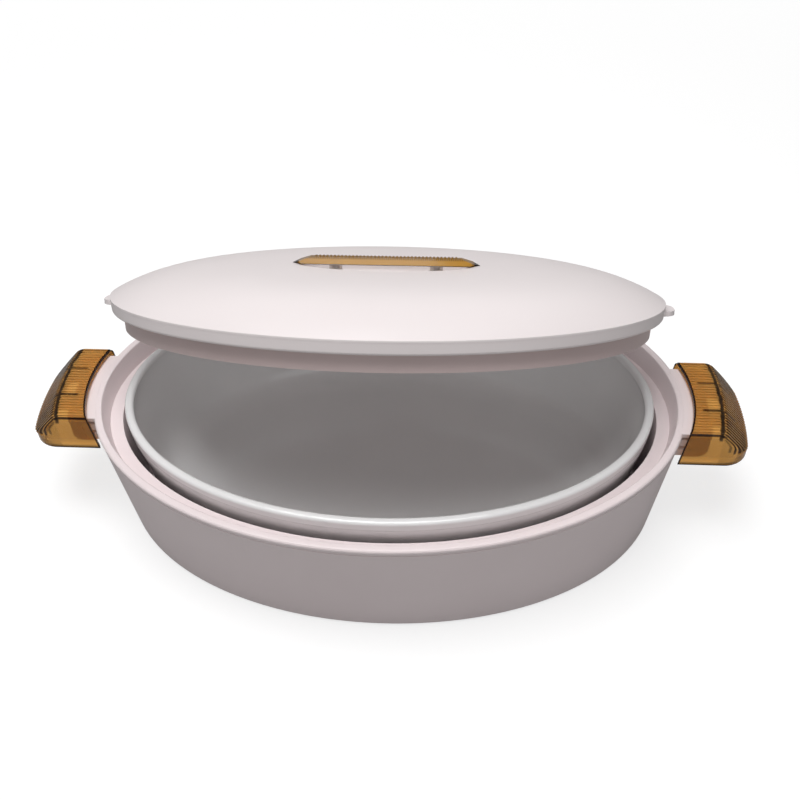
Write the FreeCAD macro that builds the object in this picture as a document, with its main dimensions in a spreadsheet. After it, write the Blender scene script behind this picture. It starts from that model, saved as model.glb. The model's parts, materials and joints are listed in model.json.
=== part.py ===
import FreeCAD, Part
import math
import os

# Oval insulated casserole: a tapered double wall body, a ceramic dish that stands in its well,
# ribbed clear handle covers on moulded lugs, and a domed lid on a hinge at the back of the rim.
# X runs along the long axis, Y points to the hinge, Z is up, and the base stands on Z = 0.

os.makedirs("parts", exist_ok=True)
doc = FreeCAD.newDocument("casserole")
V = FreeCAD.Vector

# Driving dimensions in millimetres and degrees
SIZES = {
    "rim_half_length": 170.0,
    "rim_half_width": 113.3,
    "rim_height": 79.0,
    "base_inset": 8.6,
    "base_rounding": 3.0,
    "wall": 2.2,
    "seam_drop": 4.5,
    "seam_groove": 0.5,
    "rim_width": 4.7,
    "rim_rounding": 1.6,
    "rim_lead": 0.9,
    "step_depth": 11.8,
    "step_foot_inset": 7.4,
    "ledge_inset": 14.5,
    "well_floor_inset": 20.5,
    "well_floor_height": 11.5,
    "fit_gap": 0.15,
    "plug_radius": 7.0,
    "plug_head_radius": 10.0,
    "plug_head_depth": 1.0,
    "plug_offset": 60.0,
    "dish_inset": 17.6,
    "dish_rim_width": 6.2,
    "dish_lip_depth": 7.2,
    "dish_lip_step": 1.4,
    "dish_lip_rounding": 1.8,
    "dish_foot_inset": 40.0,
    "dish_foot_height": 2.0,
    "dish_bottom_height": 11.7,
    "dish_floor": 5.5,
    "lug_reach": 184.0,
    "lug_half_width": 25.5,
    "lug_top": 73.5,
    "lug_bottom": 61.0,
    "lug_rounding": 9.0,
    "lug_groove": 2.6,
    "cover_half_width": 29.5,
    "cover_top": 82.5,
    "cover_fold_reach": 190.0,
    "cover_reach": 206.0,
    "cover_foot": 64.5,
    "cover_bottom": 57.5,
    "cover_wall": 2.2,
    "cover_rounding": 15.0,
    "cover_gap": 3.4,
    "cover_bow": 150.0,
    "fold_rounding": 9.0,
    "cover_edge_rounding": 3.2,
    "shelf_reach": 178.0,
    "shelf_half_width": 26.3,
    "shelf_thickness": 2.6,
    "shelf_rounding": 7.0,
    "rib_pitch": 2.1,
    "rib_width": 1.1,
    "rib_height": 0.45,
    "web_offset": 11.0,
    "web_thickness": 1.6,
    "web_start": 178.3,
    "hinge_back": 119.5,
    "hinge_height": 77.0,
    "knuckle_radius": 4.4,
    "pin_radius": 1.5,
    "pin_head_radius": 2.7,
    "pin_running_gap": 0.05,
    "lid_knuckle_half": 19.5,
    "arm_gap": 1.3,
    "arm_thickness": 3.4,
    "washer_thickness": 0.8,
    "washer_play": 0.3,
    "washer_gap": 0.1,
    "ear_width": 9.0,
    "lid_angle": 26.1,
    "lid_seat": 79.5,
    "band_height": 7.7,
    "band_inset": 19.9,
    "crease_inset": 19.1,
    "band_rounding": 1.6,
    "dome_rise": 16.8,
    "dome_power": 5.2,
    "lid_wall": 2.2,
    "skirt_inset": 25.4,
    "skirt_draft": 0.8,
    "skirt_depth": 10.1,
    "skirt_wall": 2.0,
    "pan_rise": 4.5,
    "tab_half_width": 8.5,
    "tab_reach": 156.4,
    "tab_rise": 0.6,
    "tab_thickness": 2.6,
    "tab_rounding": 6.5,
    "scoop_half_length": 49.0,
    "scoop_half_width": 18.5,
    "scoop_depth": 3.2,
    "scoop_lift": 6.0,
    "trough_half_length": 45.5,
    "trough_front": 6.5,
    "trough_back": 17.5,
    "trough_depth": 9.0,
    "trough_rounding": 8.0,
    "trough_floor_rounding": 3.0,
    "grip_half_length": 51.0,
    "grip_flat_half_length": 41.0,
    "grip_half_width": 5.6,
    "grip_top_half_width": 2.2,
    "grip_height": 3.6,
    "grip_gap": 0.2,
    "grip_rib_pitch": 2.0,
    "grip_rib_width": 1.0,
    "grip_rib_height": 0.35,
    "post_offset": 27.4,
    "post_radius": 3.7,
    "boss_radius": 3.5,
    "boss_depth": 3.0,
    "screw_radius": 1.4,
    "screw_head_radius": 2.8,
    "screw_head_depth": 1.8,
    "screw_length": 13.9,
}

sheet = doc.addObject("Spreadsheet::Sheet", "Dims")
for row, (word, value) in enumerate(SIZES.items(), start=1):
    sheet.set("A%d" % row, word)
    sheet.set("B%d" % row, "%g" % value)
    sheet.setAlias("B%d" % row, word)
doc.recompute()


def size(word):
    return float(sheet.get(word))


def cell(text):
    """Turn the plain words of a formula into references to the sheet."""
    for word in sorted(SIZES, key=len, reverse=True):
        text = text.replace(word, "@%d@" % list(SIZES).index(word))
    for number, word in enumerate(SIZES):
        text = text.replace("@%d@" % number, "Dims." + word)
    return text


def bind(thing, **formulas):
    for prop, text in formulas.items():
        thing.setExpression(prop, cell(text))


def place(thing, x="0", y="0", z="0"):
    thing.setExpression(".Placement.Base.x", cell(x))
    thing.setExpression(".Placement.Base.y", cell(y))
    thing.setExpression(".Placement.Base.z", cell(z))


def oval(name, inset, height):
    """An ellipse drawn in from the rim's outer edge by the inset, at a height."""
    ring = doc.addObject("Part::Ellipse", name)
    bind(ring, MajorRadius="rim_half_length - (%s)" % inset, MinorRadius="rim_half_width - (%s)" % inset)
    place(ring, z=height)
    return ring


def oval_loft(name, stations, ruled=True):
    """A solid through ovals, each station an inset and a height, from the bottom up."""
    loft = doc.addObject("Part::Loft", name)
    loft.Sections = [oval("%s_oval_%d" % (name, n), *s) for n, s in enumerate(stations)]
    loft.Solid = True
    loft.Ruled = ruled
    return loft


def quarter_round(inset, height, radius, way, steps=3):
    """Stations round a top edge: way 1 turns a solid's edge in, way -1 opens a hollow's mouth out."""
    stations = []
    for step in range(steps + 1):
        turn = math.radians(90.0 * step / steps)
        side, rise = way * (1 - math.cos(turn)), 1 - math.sin(turn)
        stations.append(("%s + %.5f * %s" % (inset, side, radius), "%s - %.5f * %s" % (height, rise, radius)))
    return stations


def box(name, x, y, z, length, width, height):
    block = doc.addObject("Part::Box", name)
    bind(block, Length=length, Width=width, Height=height)
    place(block, x, y, z)
    return block


def cylinder(name, radius, height, x="0", y="0", z="0", along_x=False):
    rod = doc.addObject("Part::Cylinder", name)
    bind(rod, Radius=radius, Height=height)
    if along_x:
        rod.Placement = FreeCAD.Placement(V(), FreeCAD.Rotation(V(0, 1, 0), 90))
    place(rod, x, y, z)
    return rod


def ellipsoid(name, radius_x, radius_y, radius_z, height):
    ball = doc.addObject("Part::Ellipsoid", name)
    bind(ball, Radius1=radius_z, Radius2=radius_x, Radius3=radius_y)
    place(ball, z=height)
    return ball


def fuse(name, *things):
    joined = doc.addObject("Part::MultiFuse", name)
    joined.Shapes = list(things)
    return joined


def cut(name, base, *tools):
    result = base
    for number, tool in enumerate(tools):
        step = doc.addObject("Part::Cut", name if number == len(tools) - 1 else "%s_cut_%d" % (name, number))
        step.Base = result
        step.Tool = tool
        result = step
    return result


def common(name, *things):
    shared = doc.addObject("Part::MultiCommon", name)
    shared.Shapes = list(things)
    return shared


def round_edges(name, base, radius, wanted):
    """Fillet the edges of base that the wanted test picks."""
    doc.recompute()
    chosen = [n for n, edge in enumerate(base.Shape.Edges, start=1) if wanted(edge)]
    fillet = doc.addObject("Part::Fillet", name)
    fillet.Base = base
    fillet.Edges = [(n, radius, radius) for n in chosen]
    return fillet


def flat_at(height, shortest=0.0):
    """A test for level edges at a height that are longer than a limit."""
    def wanted(edge):
        bounds = edge.BoundBox
        level = abs(bounds.ZMin - height) < 0.02 and abs(bounds.ZMax - height) < 0.02
        return level and edge.Length > shortest
    return wanted


def upright(edge):
    return edge.BoundBox.ZLength > 1.0 and edge.BoundBox.XLength < 0.01 and edge.BoundBox.YLength < 0.01


def mirrored(name, source):
    """The same piece on the other end of the long axis."""
    twin = doc.addObject("Part::Mirroring", name)
    twin.Source = source
    twin.Normal = V(1, 0, 0)
    return twin


pieces = {}
SIDES = [("right", "1"), ("left", "-1")]


def piece(node, thing, pose=None):
    """Give a finished piece its name and, on the lid, its open pose."""
    thing.Label = node
    if pose is not None:
        thing.Placement = pose.multiply(thing.Placement)
    pieces[node] = thing
    return thing


# Body shell with its handle lugs and a filling hole in the base
def wall_inset(height):
    return "base_inset * (1 - (%s) / rim_height)" % height


SHELL_TOP = "(rim_height - seam_drop)"


def body_block(name, offset="0", top="rim_height"):
    return oval_loft(name, [(wall_inset("0") + " + " + offset, "0"), (wall_inset(top) + " + " + offset, top)])


def handle_lug(side):
    """A tongue below the rim with rounded corners and a groove round its edge."""
    name = "lug_" + side
    start = "rim_half_length - 14"
    block = box(name + "_block", start, "-lug_half_width", "lug_bottom", "lug_reach - (%s)" % start,
                "2 * lug_half_width", "lug_top - lug_bottom")
    tongue = round_edges(name + "_tongue", block, size("lug_rounding"),
                         lambda edge: upright(edge) and edge.CenterOfMass.x > size("rim_half_length"))
    middle = "(lug_top + lug_bottom) / 2"
    outer = box(name + "_groove_outer", "rim_half_length - 5", "-lug_half_width - 2", middle + " - lug_groove / 2",
                "60", "2 * lug_half_width + 4", "lug_groove")
    inner = box(name + "_groove_inner", start, "-lug_half_width + lug_groove", middle + " - lug_groove / 2 - 1",
                "lug_reach - lug_groove - (%s)" % start, "2 * lug_half_width - 2 * lug_groove", "lug_groove + 2")
    groove = cut(name + "_groove", outer, inner)
    slots = [box("%s_slot_%s" % (name, word), "web_start - fit_gap",
                 "%s * web_offset - web_thickness / 2 - fit_gap" % way,
                 "lug_top - 4", "60", "web_thickness + 2 * fit_gap", "10")
             for word, way in SIDES]
    lug = cut(name + "_shaped", tongue, groove, *slots)
    return lug if side == "right" else mirrored(name + "_twin", lug)


shell_outer = round_edges("shell_rounded", body_block("shell_block", top=SHELL_TOP), size("base_rounding"),
                          flat_at(0.0))
shell_lugs = fuse("shell_with_lugs", shell_outer, handle_lug("right"), handle_lug("left"))
shell_cavity = oval_loft("shell_cavity", [(wall_inset("wall") + " + wall", "wall"),
                                          (wall_inset("rim_height + 5") + " + wall", "rim_height + 5")])
filling_hole = cylinder("filling_hole", "plug_radius", "wall + 2", "plug_offset", z="-1")
plug_seat = cylinder("plug_seat", "plug_head_radius + fit_gap", "plug_head_depth + 1", "plug_offset", z="-1")
piece("outer_shell", cut("outer_shell", shell_lugs, shell_cavity, filling_hole, plug_seat))

plug_head = cylinder("plug_head", "plug_head_radius", "plug_head_depth", "plug_offset")
plug_stem = cylinder("plug_stem", "plug_radius", "wall - plug_head_depth", "plug_offset", z="plug_head_depth")
piece("filling_plug", fuse("filling_plug", plug_head, plug_stem))

# Rim, ledge and well in one moulding, with the two hinge ears
STEP_FOOT = "(rim_height - step_depth)"
LEDGE_UNDER = "(rim_height - step_depth - wall)"
FLOOR_UNDER = "(well_floor_height - wall)"


def hinge_ear(name, start):
    """A round ear on the hinge line, carried by a web from the back of the rim."""
    barrel = cylinder(name + "_barrel", "knuckle_radius", "ear_width", start, "hinge_back", "hinge_height", True)
    web = box(name + "_web", start, "rim_half_width - 4", "rim_height - seam_drop + 0.1",
              "ear_width", "hinge_back - rim_half_width + 4", "seam_drop - 0.1")
    return fuse(name, barrel, web)


EAR_START = "lid_knuckle_half + washer_play + washer_thickness + washer_gap"
ears = [hinge_ear("ear_right", EAR_START), hinge_ear("ear_left", "-(%s) - ear_width" % EAR_START)]
rim_ring = oval_loft("rim_ring", [(wall_inset(SHELL_TOP) + " + seam_groove", SHELL_TOP),
                                  (wall_inset(SHELL_TOP), SHELL_TOP + " + seam_groove")]
                     + quarter_round("0", "rim_height", "rim_rounding", 1))
step_wall = oval_loft("step_wall", [("step_foot_inset - wall", LEDGE_UNDER),
                                    ("step_foot_inset - wall - 0.6", SHELL_TOP + " + 1")])
well_wall = oval_loft("well_wall", [("well_floor_inset - wall + 5", FLOOR_UNDER),
                                    ("well_floor_inset - wall + 1.2", FLOOR_UNDER + " + 1.4"),
                                    ("well_floor_inset - wall - 0.4", FLOOR_UNDER + " + 5"),
                                    ("ledge_inset - wall", LEDGE_UNDER + " + 1")])
rim_opening = oval_loft("rim_opening", [("step_foot_inset", STEP_FOOT)]
                        + quarter_round("rim_width", "rim_height", "rim_lead", -1)
                        + [("rim_width - rim_lead", "rim_height + 3")])
well_inside = oval_loft("well_inside", [("well_floor_inset + 4", "well_floor_height"),
                                        ("well_floor_inset + 1", "well_floor_height + 1.2"),
                                        ("well_floor_inset - 0.4", "well_floor_height + 4.4"),
                                        ("ledge_inset", STEP_FOOT + " + 1")])


def handle_shelf(side):
    """A level shelf that widens the rim below the handle cover."""
    start = "rim_half_length - 12"
    block = box("shelf_" + side, start, "-shelf_half_width", "rim_height - 0.1 - shelf_thickness",
                "shelf_reach - (%s)" % start, "2 * shelf_half_width", "shelf_thickness")
    shelf = round_edges("shelf_rounded_" + side, block, size("shelf_rounding"),
                        lambda edge: upright(edge) and edge.CenterOfMass.x > size("rim_half_length"))
    return shelf if side == "right" else mirrored("shelf_twin", shelf)


rim_body = fuse("rim_body", rim_ring, step_wall, well_wall, handle_shelf("right"), handle_shelf("left"))
rim_cut = cut("rim_cut", rim_body, fuse("rim_hollow", rim_opening, well_inside))
rim_room = oval_loft("rim_room", [("1.2", "rim_height - 12"), ("1.2", "rim_height + 12")])
rim_bore = cylinder("rim_bore", "pin_radius", "100", "-50", "hinge_back", "hinge_height", True)
piece("rim_and_well", fuse("rim_and_well", rim_cut, cut("hinge_ears", fuse("ear_pair", *ears), rim_room, rim_bore)))

# Foam between the shell and the well
foam_block = oval_loft("foam_block", [(wall_inset("wall") + " + wall + fit_gap", "wall + fit_gap"),
                                      (wall_inset(LEDGE_UNDER) + " + wall + fit_gap", LEDGE_UNDER + " - fit_gap")])
foam_space = oval_loft("foam_space", [("well_floor_inset - wall - fit_gap", FLOOR_UNDER + " - fit_gap"),
                                      ("ledge_inset - wall - fit_gap", LEDGE_UNDER + " + 1")])
piece("body_foam", cut("body_foam", foam_block, foam_space))

# Ceramic dish with a rolled lip, rounded bottom and a foot ring
DISH_BOTTOM = "dish_bottom_height"
DISH_LIP_FOOT = "(rim_height - dish_lip_depth)"
dish_lip = oval_loft("dish_lip", [("dish_inset + 0.3", DISH_LIP_FOOT), ("dish_inset", "rim_height")])
DISH_LIP_LEVELS = (size("rim_height"), size("rim_height") - size("dish_lip_depth"))
dish_lip_rounded = round_edges("dish_lip_rounded", dish_lip, size("dish_lip_rounding"),
                               lambda edge: any(flat_at(level)(edge) for level in DISH_LIP_LEVELS))
DISH_OUT = [("dish_inset + 19", "dish_bottom_height + dish_foot_height"),
            ("dish_inset + 12.5", "dish_bottom_height + dish_foot_height + 2.6"),
            ("dish_inset + 9", "dish_bottom_height + dish_foot_height + 8"),
            ("dish_inset + 6.4", "dish_bottom_height + dish_foot_height + 19"),
            ("dish_inset + dish_lip_step + 2.4", "dish_bottom_height + 42"),
            ("dish_inset + dish_lip_step", DISH_LIP_FOOT + " + 3")]
dish_wall_block = oval_loft("dish_wall_block", DISH_OUT, ruled=False)
dish_foot = oval_loft("dish_foot", [("dish_foot_inset", DISH_BOTTOM),
                                    ("dish_foot_inset - 1", "dish_bottom_height + dish_foot_height + 1")])
dish_foot_recess = oval_loft("dish_foot_recess", [("dish_foot_inset + 6", "dish_bottom_height - 1"),
                                                  ("dish_foot_inset + 7", "dish_bottom_height + dish_foot_height")])
DISH_IN_FLOOR = "dish_bottom_height + dish_foot_height + dish_floor"
DISH_IN = [("dish_inset + dish_rim_width + 27", DISH_IN_FLOOR),
           ("dish_inset + dish_rim_width + 16.5", DISH_IN_FLOOR + " + 2.2"),
           ("dish_inset + dish_rim_width + 9.5", DISH_IN_FLOOR + " + 8"),
           ("dish_inset + dish_rim_width + 5.2", DISH_IN_FLOOR + " + 18"),
           ("dish_inset + dish_rim_width + 1.8", DISH_IN_FLOOR + " + 36"),
           ("dish_inset + dish_rim_width - 0.1", "rim_height + 0.5")]
dish_hollow = oval_loft("dish_hollow", DISH_IN, ruled=False)
dish_body = fuse("dish_body", dish_lip_rounded, dish_wall_block, dish_foot)
dish_cut = cut("dish_cut", dish_body, dish_hollow, dish_foot_recess)
INNER_LIP_LENGTH = 400.0
piece("serving_dish", round_edges("serving_dish", dish_cut, size("dish_lip_rounding"),
                                  flat_at(size("rim_height"), INNER_LIP_LENGTH)))

# Clear handle cover: flat top, sloping outer face, rounded corners, two webs and fine ribs
COVER_START = "rim_half_length - 14"


def cover_block(name, grow, bottom):
    """The cover's outer form, drawn in or out by grow, down to a bottom height."""
    shoulder = "(%s) * 0.42" % grow
    middle = "cover_reach - cover_bow"
    lower = cylinder(name + "_lower", "cover_bow + (%s)" % grow, "cover_foot + %s - (%s)" % (shoulder, bottom),
                     middle, "0", bottom)
    upper = doc.addObject("Part::Cone", name + "_upper")
    bind(upper, Radius1="cover_bow + (%s)" % grow, Radius2="cover_bow - cover_reach + cover_fold_reach + " + shoulder,
         Height="cover_top + (%s) - cover_foot - %s" % (grow, shoulder))
    place(upper, middle, z="cover_foot + " + shoulder)
    outline = box(name + "_outline", COVER_START, "-cover_half_width - (%s)" % grow, bottom,
                  "cover_reach + (%s) - (%s)" % (grow, COVER_START), "2 * cover_half_width + 2 * (%s)" % grow, "60")
    reach = size("cover_fold_reach")
    rounded = round_edges(name + "_corners", outline, size("cover_rounding"),
                          lambda edge: upright(edge) and edge.CenterOfMass.x > reach)
    form = common(name + "_form", fuse(name + "_sides", lower, upper), rounded)
    doc.recompute()
    top = form.Shape.BoundBox.ZMax

    def fold(edge):
        return flat_at(top)(edge) and edge.CenterOfMass.x > reach - 12 and edge.BoundBox.YLength > 20

    def top_side(edge):
        return flat_at(top)(edge) and edge.BoundBox.YLength < 0.01

    folded = round_edges(name + "_folded", form, size("fold_rounding"), fold)
    return round_edges(name + "_soft", folded, size("cover_edge_rounding"), top_side)


def handle_cover():
    outside = cover_block("cover_outside", "0", "cover_bottom")
    inside = cover_block("cover_inside", "-cover_wall", "cover_bottom - 1")
    shell = cut("cover_shell", outside, inside)
    middle = cover_block("cover_middle", "-cover_wall / 2", "cover_bottom - 1")
    webs = [box("cover_web_" + word, "web_start", "%s * web_offset - web_thickness / 2" % way, "lug_top - 3.5",
                "cover_reach - web_start", "web_thickness", "cover_top - lug_top + 2.5")
            for word, way in SIDES]
    web_pair = common("cover_webs", fuse("cover_web_pair", *webs), middle)
    rib_total = 2 * int(size("cover_half_width") / size("rib_pitch")) - 1
    slices = [box("cover_rib_%d" % n, COVER_START, "%d * rib_pitch - rib_width / 2" % (n - rib_total // 2),
                  "cover_foot + 0.6", "60", "rib_width", "30") for n in range(rib_total)]
    limit = cover_block("cover_rib_limit", "rib_height", "cover_bottom")
    ribs = common("cover_ribs", fuse("cover_slices", *slices), limit)
    return fuse("cover_joined", shell, web_pair, cut("cover_rib_skin", ribs, middle))


cover_room = body_block("cover_room", "-cover_gap", "rim_height + 6")
cover_right = cut("handle_cover_right", handle_cover(), cover_room)
piece("handle_cover_right", cover_right)
piece("handle_cover_left", mirrored("handle_cover_left", cover_right))

# Hinge pin with a head and a push-on cap, and the friction washers
PIN_END = "(%s + ear_width)" % EAR_START
pin_rod = cylinder("pin_rod", "pin_radius", "2 * %s + 2" % PIN_END, "-%s - 1" % PIN_END, "hinge_back",
                   "hinge_height", True)
pin_head = cylinder("pin_head", "pin_head_radius", "1.6", "-%s - 1.7" % PIN_END, "hinge_back", "hinge_height", True)
piece("hinge_pin", fuse("hinge_pin", pin_rod, pin_head))
cap_block = cylinder("cap_block", "pin_head_radius", "2.0", "%s + 0.1" % PIN_END, "hinge_back", "hinge_height", True)
cap_bore = cylinder("cap_bore", "pin_radius", "1.0", "%s" % PIN_END, "hinge_back", "hinge_height", True)
piece("hinge_pin_cap", cut("hinge_pin_cap", cap_block, cap_bore))


def washer(name, start):
    disc = cylinder(name + "_disc", "knuckle_radius - 0.2", "washer_thickness", start, "hinge_back",
                    "hinge_height", True)
    hole = cylinder(name + "_hole", "pin_radius", "5", "%s - 1" % start, "hinge_back", "hinge_height", True)
    return cut(name, disc, hole)


piece("hinge_washers", fuse("hinge_washers", washer("washer_right", "lid_knuckle_half + washer_play"),
                            washer("washer_left", "-lid_knuckle_half - washer_play - washer_thickness")))

# Lid parts are drawn closed, then turned open about the hinge pin
lid_pose = FreeCAD.Placement(V(0, 0, 0), FreeCAD.Rotation(V(-1, 0, 0), size("lid_angle")),
                             V(0, size("hinge_back"), size("hinge_height")))
CREASE = "(lid_seat + band_height)"
DOME_TOP = "(lid_seat + band_height + dome_rise)"
DOME_SCALES = (1.0, 0.985, 0.95, 0.9, 0.82, 0.7, 0.55, 0.35, 0.12)
GRIP_FOOT = "(%s + grip_gap)" % DOME_TOP
SCREW_TOP = "(%s + grip_height - 1.2)" % GRIP_FOOT


def dome(name, shrink, foot=CREASE):
    """The domed top: scaled ovals up a flat profile with steep shoulders, drawn in by shrink all over."""
    loft = doc.addObject("Part::Loft", name)
    sections = []
    for number, scale in enumerate(DOME_SCALES):
        ring = doc.addObject("Part::Ellipse", "%s_oval_%d" % (name, number))
        bind(ring, MajorRadius="(rim_half_length - crease_inset - (%s)) * %g" % (shrink, scale),
             MinorRadius="(rim_half_width - crease_inset - (%s)) * %g" % (shrink, scale))
        place(ring, z="%s + (dome_rise - (%s)) * (1 - %g ^ dome_power)" % (CREASE, shrink, scale))
        sections.append(ring)
    loft.Sections = sections
    loft.Solid = True
    loft.Ruled = False
    inset = "crease_inset + (%s)" % shrink
    skirt = oval_loft(name + "_foot", [(inset, foot), (inset, CREASE)])
    return fuse(name + "_whole", loft, skirt)


def lid_band(name, shrink, bottom):
    return oval_loft(name, [("band_inset + (%s)" % shrink, bottom), ("crease_inset + (%s)" % shrink, CREASE)])


def finger_recess(name, grow):
    """A shallow scoop in front of the grip and a rounded trough that runs under and behind it."""
    spread = "sqrt(1 - (scoop_lift / (scoop_depth + scoop_lift)) ^ 2)"
    scoop = ellipsoid(name + "_scoop", "scoop_half_length / %s + (%s)" % (spread, grow),
                      "scoop_half_width / %s + (%s)" % (spread, grow), "scoop_depth + scoop_lift + (%s)" % grow,
                      DOME_TOP + " + scoop_lift")
    block = box(name + "_block", "-trough_half_length - (%s)" % grow, "-trough_front - (%s)" % grow,
                DOME_TOP + " - trough_depth - (%s)" % grow, "2 * trough_half_length + 2 * (%s)" % grow,
                "trough_front + trough_back + 2 * (%s)" % grow, "trough_depth + 30")
    rounded = round_edges(name + "_rounded", block, size("trough_rounding"), upright)
    doc.recompute()
    low = rounded.Shape.BoundBox.ZMin
    trough = round_edges(name + "_trough", rounded, size("trough_floor_rounding"), flat_at(low))
    return fuse(name, scoop, trough)


def end_tab(side):
    """A thin rounded finger tab at one end of the lid."""
    start = "rim_half_length - crease_inset - 16"
    name = "tab_" + side
    block = box(name + "_block", start, "-tab_half_width", "lid_seat + tab_rise",
                "tab_reach - (%s)" % start, "2 * tab_half_width", "tab_thickness")
    tab = round_edges(name + "_round", block, size("tab_rounding"), lambda edge: upright(edge)
                      and edge.CenterOfMass.x > size("rim_half_length") - size("crease_inset"))
    return tab if side == "right" else mirrored(name + "_twin", tab)


band_rounded = round_edges("band_rounded", lid_band("band_outer", "0", "lid_seat"), size("band_rounding"),
                           flat_at(size("lid_seat")))
knuckle = cylinder("lid_knuckle", "knuckle_radius", "2 * lid_knuckle_half", "-lid_knuckle_half", "hinge_back",
                   "hinge_height", True)
ARM_FOOT = "(rim_height + arm_gap)"
arm = box("lid_arm", "-lid_knuckle_half", "rim_half_width - crease_inset - 6", ARM_FOOT,
          "2 * lid_knuckle_half", "hinge_back - rim_half_width + crease_inset + 6", "arm_thickness")
arm_wheel = cylinder("lid_arm_wheel", ARM_FOOT + " + arm_thickness - hinge_height", "2 * lid_knuckle_half",
                     "-lid_knuckle_half", "hinge_back", "hinge_height", True)
arm_corner = box("lid_arm_corner", "-lid_knuckle_half", "hinge_back", "hinge_height", "2 * lid_knuckle_half",
                 "20", "20")
arm_end = common("lid_arm_end", arm_wheel, arm_corner)
POST_TOP = "(%s - boss_depth - 0.1)" % GRIP_FOOT
posts = [cylinder("grip_post_" + word, "post_radius", "%s - (%s - screw_length)" % (POST_TOP, SCREW_TOP),
                  "%s * post_offset" % way, z=SCREW_TOP + " - screw_length")
         for word, way in SIDES]
lid_solid = fuse("lid_solid", band_rounded, dome("dome_outer", "0", CREASE + " - 1"), knuckle, arm, arm_end,
                 end_tab("right"), end_tab("left"))
lid_scooped = cut("lid_scooped", lid_solid, finger_recess("recess_outer", "0"))
lid_posted = fuse("lid_posted", lid_scooped, *posts)
lid_space_block = fuse("lid_space_block", lid_band("band_inner", "lid_wall", "lid_seat - 1"),
                       dome("dome_inner", "lid_wall", CREASE + " - 1"))
lid_space = cut("lid_space", lid_space_block, finger_recess("recess_inner", "lid_wall"))
lid_bore = cylinder("lid_bore", "pin_radius + pin_running_gap", "100", "-50", "hinge_back", "hinge_height", True)
screw_bores = [cylinder("screw_bore_" + word, "screw_radius + 0.1", "60", "%s * post_offset" % way, z=CREASE)
               for word, way in SIDES]
piece("lid_shell", cut("lid_shell", lid_posted, lid_space, lid_bore, *screw_bores), lid_pose)

# Lid liner: a flange inside the band, the plug skirt and a shallow domed pan
PLATE_LOW = "(lid_seat + 0.6)"
plate = oval_loft("liner_plate", [("band_inset + lid_wall + 0.2", PLATE_LOW),
                                  ("band_inset + lid_wall + 0.2", PLATE_LOW + " + lid_wall")])
skirt_block = oval_loft("skirt_block", [("skirt_inset + skirt_draft", "lid_seat - skirt_depth"),
                                        ("skirt_inset", PLATE_LOW + " + 1")])
skirt_hollow = oval_loft("skirt_hollow", [("skirt_inset + skirt_draft + skirt_wall", "lid_seat - skirt_depth - 1"),
                                          ("skirt_inset + skirt_wall", PLATE_LOW + " - 1")])


def pan_dome(name, shrink):
    ball = ellipsoid(name + "_ball", "rim_half_length - skirt_inset - skirt_wall - (%s)" % shrink,
                     "rim_half_width - skirt_inset - skirt_wall - (%s)" % shrink,
                     "pan_rise + lid_wall + 4 - (%s)" % shrink, PLATE_LOW + " - 4")
    above = box(name + "_above", "-200", "-150", PLATE_LOW + " - 3", "400", "300", "60")
    return common(name, ball, above)


liner_solid = fuse("liner_solid", plate, skirt_block, pan_dome("pan_outer", "0"))
liner_hollow = fuse("liner_hollow", skirt_hollow, pan_dome("pan_inner", "lid_wall"))
lid_fill_hole = cylinder("lid_fill_hole", "plug_radius", "40", z=PLATE_LOW + " - 4")
piece("lid_liner", cut("lid_liner", liner_solid, liner_hollow, lid_fill_hole), lid_pose)

# Foam in the lid
foam_base = oval_loft("lid_foam_base", [("band_inset + lid_wall + fit_gap", PLATE_LOW + " + lid_wall + fit_gap"),
                                        ("crease_inset + lid_wall + fit_gap", CREASE)])
lid_foam_block = fuse("lid_foam_block", dome("dome_foam", "lid_wall + fit_gap", CREASE + " - 1"), foam_base)
post_room = [cylinder("post_room_" + word, "post_radius + 2 * fit_gap", "60", "%s * post_offset" % way,
                      z=PLATE_LOW + " + 3") for word, way in SIDES]
piece("lid_foam", cut("lid_foam", lid_foam_block, finger_recess("recess_foam", "lid_wall + fit_gap"),
                      pan_dome("pan_foam", "-fit_gap"), *post_room), lid_pose)

# Clear grip bar over the recess: hipped like a roof, pointed at both ends, with a ribbed top edge
grip_roof = doc.addObject("Part::Wedge", "grip_roof")
bind(grip_roof, Xmin="-grip_half_length", Xmax="grip_half_length", X2min="-grip_flat_half_length",
     X2max="grip_flat_half_length", Ymin="0", Ymax="grip_height", Zmin="-grip_half_width", Zmax="grip_half_width",
     Z2min="-grip_top_half_width", Z2max="grip_top_half_width")
grip_roof.Placement = FreeCAD.Placement(V(), FreeCAD.Rotation(V(1, 0, 0), 90))
place(grip_roof, z=GRIP_FOOT)
GRIP_SQUARE = "grip_half_length * sqrt(2)"
grip_points = box("grip_points", "0", "0", GRIP_FOOT + " - 1", GRIP_SQUARE, GRIP_SQUARE, "grip_height + 2")
grip_points.Placement = FreeCAD.Placement(V(), FreeCAD.Rotation(V(0, 0, 1), 45))
place(grip_points, y="-grip_half_length", z=GRIP_FOOT + " - 1")
grip_bosses = [cylinder("grip_boss_" + word, "boss_radius", "boss_depth + 0.5", "%s * post_offset" % way,
                        z=GRIP_FOOT + " - boss_depth") for word, way in SIDES]
grip_rib_total = 2 * int(size("grip_flat_half_length") / size("grip_rib_pitch")) - 1
grip_ribs = [box("grip_rib_%d" % n, "%d * grip_rib_pitch - grip_rib_width / 2" % (n - grip_rib_total // 2), "0",
                 GRIP_FOOT + " + grip_height - 1", "grip_rib_width", "grip_top_half_width",
                 "1 + grip_rib_height") for n in range(grip_rib_total)]
boss_bores = [cylinder("boss_bore_" + word, "screw_radius", "screw_length", "%s * post_offset" % way,
                       z=SCREW_TOP + " - screw_length") for word, way in SIDES]
grip_bar = fuse("grip_bar", common("grip_boat", grip_roof, grip_points), *grip_bosses, *grip_ribs)
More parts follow.
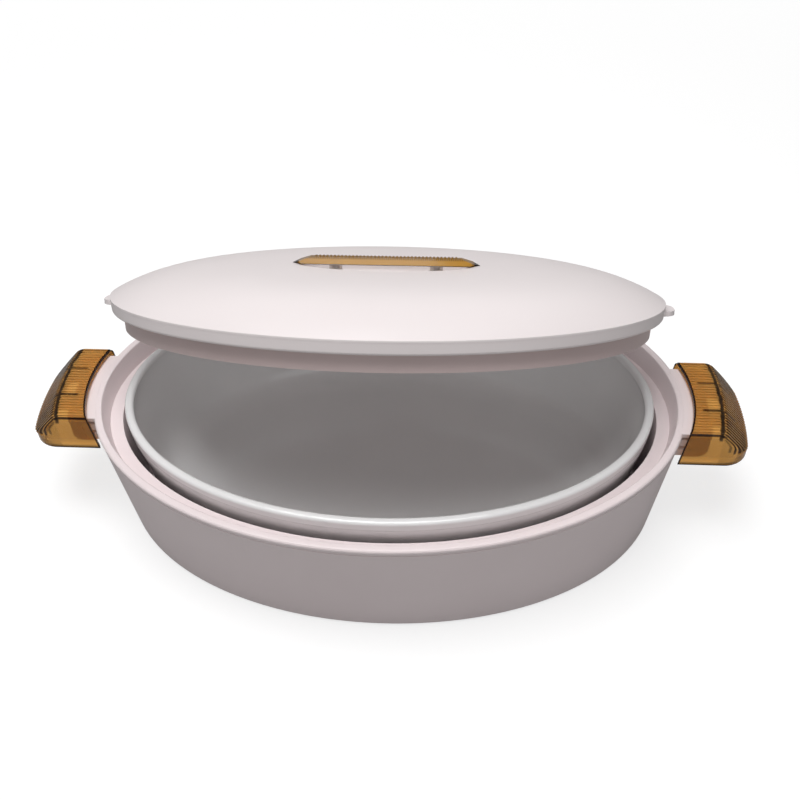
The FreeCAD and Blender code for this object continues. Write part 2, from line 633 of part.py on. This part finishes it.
piece("lid_grip", cut("lid_grip", grip_bar, *boss_bores), lid_pose)


def grip_screw(word, way):
    """A pan head screw driven up through a post into the grip bar."""
    shank = cylinder("screw_shank_" + word, "screw_radius", "screw_length", "%s * post_offset" % way,
                     z=SCREW_TOP + " - screw_length")
    head = cylinder("screw_head_" + word, "screw_head_radius", "screw_head_depth", "%s * post_offset" % way,
                    z=SCREW_TOP + " - screw_length - screw_head_depth")
    return fuse("screw_" + word, shank, head)


piece("grip_screws", fuse("grip_screws", *[grip_screw(word, way) for word, way in SIDES]), lid_pose)
PAN_TOP = PLATE_LOW + " - 4 + pan_rise + 4"
lid_plug_stem = cylinder("lid_plug_stem", "plug_radius - 0.1", "lid_wall + 0.5", z=PAN_TOP + " - 0.5")
lid_plug_head = cylinder("lid_plug_head", "plug_head_radius", "1.0", z=PAN_TOP + " - 1.05")
piece("lid_filling_plug", fuse("lid_filling_plug", lid_plug_head, lid_plug_stem), lid_pose)

doc.recompute()
for thing in doc.Objects:
    if "Invalid" in thing.State or "Error" in thing.State:
        raise RuntimeError("%s did not build: %s" % (thing.Name, thing.State))
for node, thing in pieces.items():
    shape = thing.Shape
    if shape.isNull() or not shape.isValid() or not shape.Solids:
        raise RuntimeError("%s has no valid solid" % node)
    shape.exportStep("parts/%s.step" % node)
    volume = shape.Volume / 1000
    print("%-20s solids %d faces %3d volume %.1f cm3" % (node, len(shape.Solids), len(shape.Faces), volume))
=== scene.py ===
import json
import math

import bpy
from mathutils import Matrix, Vector

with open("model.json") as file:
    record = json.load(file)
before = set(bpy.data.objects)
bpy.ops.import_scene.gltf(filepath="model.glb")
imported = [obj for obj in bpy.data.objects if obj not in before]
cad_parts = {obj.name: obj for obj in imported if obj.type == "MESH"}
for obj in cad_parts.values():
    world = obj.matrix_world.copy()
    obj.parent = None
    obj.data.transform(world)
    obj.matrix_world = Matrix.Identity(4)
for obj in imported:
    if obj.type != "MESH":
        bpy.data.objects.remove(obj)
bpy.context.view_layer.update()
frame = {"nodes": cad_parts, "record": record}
nodes = frame["nodes"]

# Camera: it looks down 45 degrees at the rim, a little from the right of the front
RIM_HEIGHT = 0.079
LOOK_DOWN = math.radians(45.0)
LOOK_SIDE = math.radians(4.22)
ROLL = math.radians(-1.53)
DISTANCE = 0.600
TARGET_X, TARGET_UP = 0.00753, -0.00369
IMAGE_PIXELS = 800.0
FOCAL_PIXELS = 1039.5
SENSOR = 36.0
NEAREST = 0.01

# The open lid turns about its hinge
LID_ANGLE = math.radians(26.1)
HINGE = (0.0, 0.1195, 0.077)

# Noise: how often it repeats in a metre, how fine it is and how much of it shows
TONE_SCALE = 14.0
GLOSS_SCALE = 60.0
CLEAR_TONE_SCALE = 30.0
CLEAR_GLOSS_SCALE = 90.0
FOLD_NOISE_SCALE = 260.0
BROAD, FINE = 2.0, 3.0
TONE_RANGE = (0.3, 0.7)
RELIEF = 0.25
EVEN = (1.0, 1.0, 1.0)

# Painted shade on the clear handle cover: dark lines at its edges, fold, webs and ribs, a darker slope, and
# the lug's painted shadow on its front
# Handle cover, in metres on the right one: a pair is where a tone starts and ends to fade, a half is
# half a line's width, and the edge and half line of a rib are shares of the pitch
BOW_CENTRE = 0.056
FOLD, FOLD_HALF, FOLD_WAVER = 0.1343, 0.0012, 0.0024
FOLD_FOOT = (0.076, 0.078)
SLOPE = (0.1335, 0.1355)
CORNER = (0.011, 0.017)
WEB, WEB_HALF = 0.011, 0.0008
WEB_START = (0.1765, 0.1790)
WEB_FOOT = (0.072, 0.075)
RIB_PITCH, RIB_EDGE, RIB_HALF = 0.0021, 0.262, 0.12
RIB_FOOT = (0.0655, 0.067)
SHOULDER, SHOULDER_HALF = 0.0288, 0.0005
SHOULDER_FOOT = (0.0785, 0.0800)
TOP_FACE = (0.0812, 0.0817)
FRONT_EDGE = (0.0286, 0.0290)
FRONT_FACE = (0.0284, 0.0290)
FRONT_FOOT = (0.0600, 0.0650)
BOTTOM = (0.0579, 0.0587)
WALL_SPREAD, WALL_REACH, WALL_OVAL = 0.109, 0.1648, 0.0567
WALL_GAP = (1.0045, 1.0065)
# How dark each painted shade on the cover is: fold, webs, the lug's painted shadow on the front face, slope,
# then the ribs' edges, more on the slope and its corner
FOLD_DARK, WEB_DARK, LUG_SHADOW_DARK, SLOPE_SHADE_DARK = 0.95, 0.95, 0.38, 0.30
RIB_DARK, SLOPE_RIB_DARK, CORNER_RIB_DARK = 0.26, 0.44, 0.28

# Grip bar, in metres on the closed lid, with its pairs, halves and ribs given the same way
GRIP_ENDS = (0.0462, 0.0485)
GRIP_FOOT, GRIP_FOOT_HALF = 0.1043, 0.0003
GRIP_TOP = (-0.0034, -0.0026)
GRIP_BOSS = (0.1039, 0.1041)
GRIP_RIB_PITCH, GRIP_RIB_EDGE, GRIP_RIB_HALF = 0.002, 0.25, 0.14
# How dark the grip's painted shade is at its foot, at the ribs' edges and on its top
GRIP_FOOT_DARK, GRIP_RIB_DARK, GRIP_TOP_DARK = 0.8, 0.65, 0.20
# Painted light: the pale colour of the bosses below the grip's bar, so they don't show dark in the bar's
# shade
BOSS_PAINTED_LIGHT = (0.97, 0.92, 0.92)

# Tinted clear plastic
COVER_TONES = ((0.80, 0.42, 0.10), (0.87, 0.47, 0.13))
GRIP_TONES = ((0.56, 0.28, 0.035), (0.66, 0.34, 0.05))
COVER_CLEARNESS, GRIP_CLEARNESS = 0.62, 0.5
# Dark amber of the painted shade, then the Layer Weight blend and range of the painted shade towards the
# outline
PAINTED_SHADE_AMBER = (0.008, 0.004, 0.003)
OUTLINE_BLEND = 0.35
OUTLINE_SHADE = (0.62, 0.97)
CLEAR_ROUGHNESS = (0.06, 0.14)
CLEAR_SPECULAR = 0.15
CLEAR_INDEX = 1.33

# Floor, backdrop and lamps
FLOOR_HALF = 6.0
FLOOR_DROP = -0.0004
FLOOR_TONE = 0.36
FLOOR_ROUGHNESS = 0.9
FLOOR_SPECULAR = 0.1
FLOOR_GLOW, FAR_GLOW = 0.70, 0.30
FAR_FLOOR = (0.5, 2.0)
IN_GLOSS = 0.15
BACKDROP = 0.28
# Name, width and depth, place, point it shines at, power
LAMPS = [
    ("overhead", (0.8, 0.6), (-0.12, -0.08, 1.3), (0.0, 0.0, 0.05), 12.2),
    ("front_fill", (1.2, 0.8), (0.15, -1.3, 0.9), (0.0, 0.0, 0.06), 2.6),
    ("back_fill", (1.2, 0.8), (0.0, 1.4, 0.7), (0.0, 0.0, 0.06), 1.6),
]


def make_camera():
    level = math.cos(LOOK_DOWN)
    toward = Vector((math.sin(LOOK_SIDE) * level, -math.cos(LOOK_SIDE) * level, math.sin(LOOK_DOWN)))
    right = Vector((math.cos(LOOK_SIDE), math.sin(LOOK_SIDE), 0.0))
    up = toward.cross(right)
    right_rolled = right * math.cos(ROLL) + up * math.sin(ROLL)
    up_rolled = up * math.cos(ROLL) - right * math.sin(ROLL)
    target = Vector((TARGET_X, 0.0, RIM_HEIGHT)) + up_rolled * TARGET_UP
    place = target + toward * DISTANCE
    data = bpy.data.cameras.new("camera")
    data.sensor_width = SENSOR
    data.lens = FOCAL_PIXELS * SENSOR / IMAGE_PIXELS
    data.clip_start = NEAREST
    camera = bpy.data.objects.new("camera", data)
    bpy.context.collection.objects.link(camera)
    turn = Matrix((right_rolled, up_rolled, toward)).transposed().to_4x4()
    camera.matrix_world = Matrix.Translation(place) @ turn
    bpy.context.scene.camera = camera


def new_material(name):
    material = bpy.data.materials.new(name)
    material.use_nodes = True
    tree = material.node_tree
    shader = next(n for n in tree.nodes if n.type == "BSDF_PRINCIPLED")
    return material, tree, shader


def noise(tree, scale, detail=BROAD, stretch=EVEN):
    """A noise texture laid out in metres on the part itself."""
    place = tree.nodes.new("ShaderNodeTexCoord")
    mapping = tree.nodes.new("ShaderNodeMapping")
    mapping.inputs["Scale"].default_value = stretch
    texture = tree.nodes.new("ShaderNodeTexNoise")
    texture.inputs["Scale"].default_value = scale
    texture.inputs["Detail"].default_value = detail
    tree.links.new(place.outputs["Object"], mapping.inputs["Vector"])
    tree.links.new(mapping.outputs["Vector"], texture.inputs["Vector"])
    return texture.outputs["Fac"]


def tones(tree, value, low, high):
    """A colour that drifts between two close tones."""
    ramp = tree.nodes.new("ShaderNodeValToRGB")
    for element, position, colour in zip(ramp.color_ramp.elements, TONE_RANGE, (low, high)):
        element.position = position
        element.color = (*colour, 1.0)
    tree.links.new(value, ramp.inputs["Fac"])
    return ramp.outputs["Color"]


def rough(tree, value, shader, low, high):
    spread = tree.nodes.new("ShaderNodeMapRange")
    spread.inputs["To Min"].default_value = low
    spread.inputs["To Max"].default_value = high
    tree.links.new(value, spread.inputs["Value"])
    tree.links.new(spread.outputs["Result"], shader.inputs["Roughness"])


def relief(tree, value, shader, depth):
    node = tree.nodes.new("ShaderNodeBump")
    node.inputs["Strength"].default_value = RELIEF
    node.inputs["Distance"].default_value = depth
    tree.links.new(value, node.inputs["Height"])
    tree.links.new(node.outputs["Normal"], shader.inputs["Normal"])


def surface(name, low, high, gloss, grain, depth, specular=0.5, metallic=0.0, stretch=EVEN):
    """A material whose tone, gloss and fine relief all vary a little over the part."""
    material, tree, shader = new_material(name)
    tree.links.new(tones(tree, noise(tree, TONE_SCALE), low, high), shader.inputs["Base Color"])
    rough(tree, noise(tree, GLOSS_SCALE, FINE), shader, *gloss)
    relief(tree, noise(tree, grain, FINE, stretch), shader, depth)
    shader.inputs["Specular IOR Level"].default_value = specular
    shader.inputs["Metallic"].default_value = metallic
    return material


def calc(tree, operation, *values):
    """One math node; each value is a number or another node's output."""
    node = tree.nodes.new("ShaderNodeMath")
    node.operation = operation
    for socket, value in zip(node.inputs, values):
        if isinstance(value, (int, float)):
            socket.default_value = value
        else:
            tree.links.new(value, socket)
    return node.outputs["Value"]


def times(tree, first, second):
    return calc(tree, "MULTIPLY", first, second)


def size_of(tree, value):
    return calc(tree, "ABSOLUTE", value)


def distance(tree, across, along):
    """How far a flat step across and along goes."""
    squares = calc(tree, "ADD", times(tree, across, across), times(tree, along, along))
    return calc(tree, "SQRT", squares)


def fade_out(tree, value, start, end):
    """1 below start, 0 above end, smooth between."""
    node = tree.nodes.new("ShaderNodeMapRange")
    node.interpolation_type = "SMOOTHSTEP"
    node.inputs["From Min"].default_value = start
    node.inputs["From Max"].default_value = end
    node.inputs["To Min"].default_value = 1.0
    node.inputs["To Max"].default_value = 0.0
    tree.links.new(value, node.inputs["Value"])
    return node.outputs["Result"]


def fade_in(tree, value, start, end):
    return calc(tree, "SUBTRACT", 1.0, fade_out(tree, value, start, end))


def line_at(tree, value, centre, half):
    """A soft line where the value passes the centre."""
    away = size_of(tree, calc(tree, "SUBTRACT", value, centre))
    return fade_out(tree, away, half * 0.5, half * 1.5)


def rib_edge_shade(tree, value, pitch, edge, half):
    """Painted shade: dark lines along both edges of the ribs, which sit on whole multiples of the pitch."""
    turn = calc(tree, "FRACT", calc(tree, "ADD", calc(tree, "DIVIDE", value, pitch), 0.5))
    away = size_of(tree, calc(tree, "SUBTRACT", turn, 0.5))
    return line_at(tree, away, edge, half)


def strongest(tree, masks):
    result = masks[0]
    for mask in masks[1:]:
        result = calc(tree, "MAXIMUM", result, mask)
    return result


def split(tree, turned=False):
    """The part's own x, y and z in metres; on the lid they are turned back to the closed lid's."""
    place = tree.nodes.new("ShaderNodeTexCoord").outputs["Object"]
    if turned:
        turn = tree.nodes.new("ShaderNodeVectorRotate")
        turn.rotation_type = "X_AXIS"
        turn.inputs["Center"].default_value = HINGE
        turn.inputs["Angle"].default_value = LID_ANGLE
        tree.links.new(place, turn.inputs["Vector"])
        place = turn.outputs["Vector"]
    parts = tree.nodes.new("ShaderNodeSeparateXYZ")
    tree.links.new(place, parts.inputs["Vector"])
    return parts.outputs["X"], parts.outputs["Y"], parts.outputs["Z"]


def cover_painted_shade(tree):
    """Painted shade on the clear cover: dark lines for the light it bends at its cut edges, bottom, shoulder,
    fold, webs and ribs' edges, a darker slope, and the lug's painted shadow on its front face.
    """
    x, y, z = split(tree)
    x = size_of(tree, x)
    side = size_of(tree, y)
    bow = distance(tree, calc(tree, "SUBTRACT", x, BOW_CENTRE), y)

    waver = times(tree, noise(tree, FOLD_NOISE_SCALE), FOLD_WAVER)
    fold = line_at(tree, calc(tree, "ADD", bow, waver), FOLD, FOLD_HALF)
    fold = times(tree, fold, fade_in(tree, z, *FOLD_FOOT))

    reach = calc(tree, "ADD", times(tree, z, WALL_SPREAD), WALL_REACH)
    width = calc(tree, "SUBTRACT", reach, WALL_OVAL)
    oval = distance(tree, calc(tree, "DIVIDE", x, reach), calc(tree, "DIVIDE", side, width))
    edge = strongest(tree, [fade_in(tree, z, *TOP_FACE), fade_in(tree, side, *FRONT_EDGE)])
    inner = times(tree, fade_out(tree, oval, *WALL_GAP), edge)
    bottom = fade_out(tree, z, *BOTTOM)
    shoulder = times(tree, line_at(tree, side, SHOULDER, SHOULDER_HALF), fade_in(tree, z, *SHOULDER_FOOT))

    # Painted shade on the slope, with the ribs' dark edges stronger there and at its front corner
    slope = fade_in(tree, bow, *SLOPE)
    corner = times(tree, fade_in(tree, side, *CORNER), slope)
    depth = calc(tree, "ADD", times(tree, slope, SLOPE_RIB_DARK), times(tree, corner, CORNER_RIB_DARK))
    ribbed = times(tree, rib_edge_shade(tree, y, RIB_PITCH, RIB_EDGE, RIB_HALF), fade_in(tree, z, *RIB_FOOT))
    ribbed = times(tree, ribbed, calc(tree, "ADD", depth, RIB_DARK))

    web = times(tree, line_at(tree, side, WEB, WEB_HALF), fade_in(tree, x, *WEB_START))
    web = times(tree, web, fade_in(tree, z, *WEB_FOOT))
    # Painted shadow of the lug on the front face, seen through the clear cover, left off its bottom strip
    front = times(tree, fade_in(tree, side, *FRONT_FACE), fade_in(tree, z, *FRONT_FOOT))
    return strongest(tree, [times(tree, fold, FOLD_DARK), times(tree, web, WEB_DARK), inner, bottom, shoulder,
                            ribbed, times(tree, front, LUG_SHADOW_DARK), times(tree, slope, SLOPE_SHADE_DARK)])


def grip_painted_shade(tree):
    """Painted shade on the grip bar: dark points at both ends, a dark line along its foot, dark lines at the
    ribs' edges and a darker top.
    """
    x, y, z = split(tree, True)
    x = size_of(tree, x)
    ends = fade_in(tree, x, *GRIP_ENDS)
    foot = line_at(tree, z, GRIP_FOOT, GRIP_FOOT_HALF)
    top = fade_in(tree, y, *GRIP_TOP)
    ribbed = times(tree, rib_edge_shade(tree, x, GRIP_RIB_PITCH, GRIP_RIB_EDGE, GRIP_RIB_HALF), top)
    return strongest(tree, [ends, times(tree, foot, GRIP_FOOT_DARK), times(tree, ribbed, GRIP_RIB_DARK),
                            times(tree, top, GRIP_TOP_DARK)])


def grip_boss_painted_light(tree):
    """1 on the two bosses below the grip's bar, where painted light turns them pale like the lid so they
    don't show dark in the bar's shade.
    """
    return fade_out(tree, split(tree, True)[2], *GRIP_BOSS)


def mixed(tree, mask, colour, other):
    """The colour where the mask is 0 and the other where it is 1."""
    mix = tree.nodes.new("ShaderNodeMix")
    mix.data_type = "RGBA"
    tree.links.new(mask, mix.inputs["Factor"])
    tree.links.new(colour, mix.inputs["A"])
    mix.inputs["B"].default_value = (*other, 1.0)
    return mix.outputs["Result"]


def clear_surface(name, low, high, clearness, lines, painted_light=None):
    """Tinted clear plastic with painted shade in its lines and towards its outline, and painted light where a
    mask for it is given.
    """
    material, tree, shader = new_material(name)
    body = tones(tree, noise(tree, CLEAR_TONE_SCALE), low, high)
    # Painted shade towards the outline, from how far the surface faces away
    weight = tree.nodes.new("ShaderNodeLayerWeight")
    weight.inputs["Blend"].default_value = OUTLINE_BLEND
    outline = fade_in(tree, weight.outputs["Facing"], *OUTLINE_SHADE)
    # Painted shade: the dark lines and the darkening towards the outline are mixed in as dark amber
    colour = mixed(tree, strongest(tree, [lines(tree), outline]), body, PAINTED_SHADE_AMBER)
    # Painted light: the pale colour goes on where its mask is 1
    if painted_light:
        colour = mixed(tree, painted_light(tree), colour, BOSS_PAINTED_LIGHT)
    tree.links.new(colour, shader.inputs["Base Color"])
    rough(tree, noise(tree, CLEAR_GLOSS_SCALE, FINE), shader, *CLEAR_ROUGHNESS)
    shader.inputs["Transmission Weight"].default_value = clearness
    shader.inputs["Specular IOR Level"].default_value = CLEAR_SPECULAR
    shader.inputs["IOR"].default_value = CLEAR_INDEX
    return material


# Two tones, least and most roughness, grain in a metre, depth of the grain
PLAIN = {
    "body_plastic": ((0.785, 0.688, 0.693), (0.815, 0.718, 0.723), (0.42, 0.52), 900.0, 0.00008),
    "lid_plastic": ((0.755, 0.695, 0.695), (0.775, 0.715, 0.715), (0.36, 0.44), 700.0, 0.00002),
    "liner_plastic": ((0.56, 0.45, 0.44), (0.60, 0.485, 0.475), (0.36, 0.46), 700.0, 0.00006),
    "dish_glaze": ((0.80, 0.795, 0.795), (0.83, 0.825, 0.825), (0.08, 0.16), 60.0, 0.0002),
    "steel": ((0.50, 0.50, 0.51), (0.60, 0.60, 0.61), (0.25, 0.42), 1500.0, 0.00005),
    "foam": ((0.80, 0.70, 0.42), (0.88, 0.79, 0.52), (0.85, 0.95), 700.0, 0.0006),
    "plug_plastic": ((0.55, 0.50, 0.50), (0.60, 0.55, 0.55), (0.45, 0.55), 900.0, 0.0001),
}
SPECIAL = {"lid_plastic": {"specular": 0.3}, "steel": {"metallic": 1.0, "stretch": (0.1, 1.0, 1.0)}}
materials = {name: surface(name, *values, **SPECIAL.get(name, {})) for name, values in PLAIN.items()}
materials["clear_cover"] = clear_surface("clear_cover", *COVER_TONES, COVER_CLEARNESS, cover_painted_shade)
materials["clear_grip"] = clear_surface("clear_grip", *GRIP_TONES, GRIP_CLEARNESS, grip_painted_shade, grip_boss_painted_light)
slot_of = {part["node"]: part["material_slot"] for part in frame["record"]["subparts"]}
slot_of["lid_grip"] = "clear_grip"
for name, piece in nodes.items():
    piece.data.materials.clear()
    piece.data.materials.append(materials[slot_of[name]])


def area_light(name, size, place, aim, power):
    data = bpy.data.lights.new(name, "AREA")
    data.shape = "RECTANGLE"
    data.size, data.size_y = size
    data.energy = power
    lamp = bpy.data.objects.new(name, data)
    lamp.location = place
    lamp.rotation_euler = (Vector(aim) - Vector(place)).to_track_quat("-Z", "Y").to_euler()
    bpy.context.collection.objects.link(lamp)


def seen_directly(tree):
    """1 for what is seen itself or through a clear piece, and less for what is seen in a gloss."""
    rays = tree.nodes.new("ShaderNodeLightPath").outputs
    return strongest(tree, [rays["Is Camera Ray"], rays["Is Transmission Ray"],
                            times(tree, rays["Is Glossy Ray"], IN_GLOSS)])


def make_floor():
    """A plain pale floor that keeps the shadow near the object and brightens far from it."""
    corners = [(x * FLOOR_HALF, y * FLOOR_HALF, 0.0) for x, y in ((-1, -1), (1, -1), (1, 1), (-1, 1))]
    mesh = bpy.data.meshes.new("floor")
    mesh.from_pydata(corners, [], [(0, 1, 2, 3)])
    floor = bpy.data.objects.new("floor", mesh)
    floor.location = (0.0, 0.0, FLOOR_DROP)
    bpy.context.collection.objects.link(floor)
    material, tree, shader = new_material("floor")
    shader.inputs["Base Color"].default_value = (FLOOR_TONE, FLOOR_TONE, FLOOR_TONE, 1.0)
    shader.inputs["Roughness"].default_value = FLOOR_ROUGHNESS
    shader.inputs["Specular IOR Level"].default_value = FLOOR_SPECULAR
    x, y, _ = split(tree)
    far = times(tree, fade_in(tree, distance(tree, x, y), *FAR_FLOOR), FAR_GLOW)
    level = calc(tree, "ADD", far, FLOOR_GLOW)
    glow = tree.nodes.new("ShaderNodeEmission")
    both = tree.nodes.new("ShaderNodeAddShader")
    output = next(n for n in tree.nodes if n.type == "OUTPUT_MATERIAL")
    tree.links.new(times(tree, seen_directly(tree), level), glow.inputs["Strength"])
    tree.links.new(shader.outputs["BSDF"], both.inputs[0])
    tree.links.new(glow.outputs["Emission"], both.inputs[1])
    tree.links.new(both.outputs["Shader"], output.inputs["Surface"])
    mesh.materials.append(material)


def make_world():
    world = bpy.data.worlds.new("studio")
    bpy.context.scene.world = world
    world.use_nodes = True
    tree = world.node_tree
    back = next(n for n in tree.nodes if n.type == "BACKGROUND")
    back.inputs["Color"].default_value = (1.0, 1.0, 1.0, 1.0)
    seen = tree.nodes.new("ShaderNodeMapRange")
    seen.inputs["To Min"].default_value = BACKDROP
    seen.inputs["To Max"].default_value = 1.0
    tree.links.new(seen_directly(tree), seen.inputs["Value"])
    tree.links.new(seen.outputs["Result"], back.inputs["Strength"])


make_floor()
make_world()
for lamp in LAMPS:
    area_light(*lamp)
make_camera()
bpy.context.scene.view_settings.view_transform = "Standard"
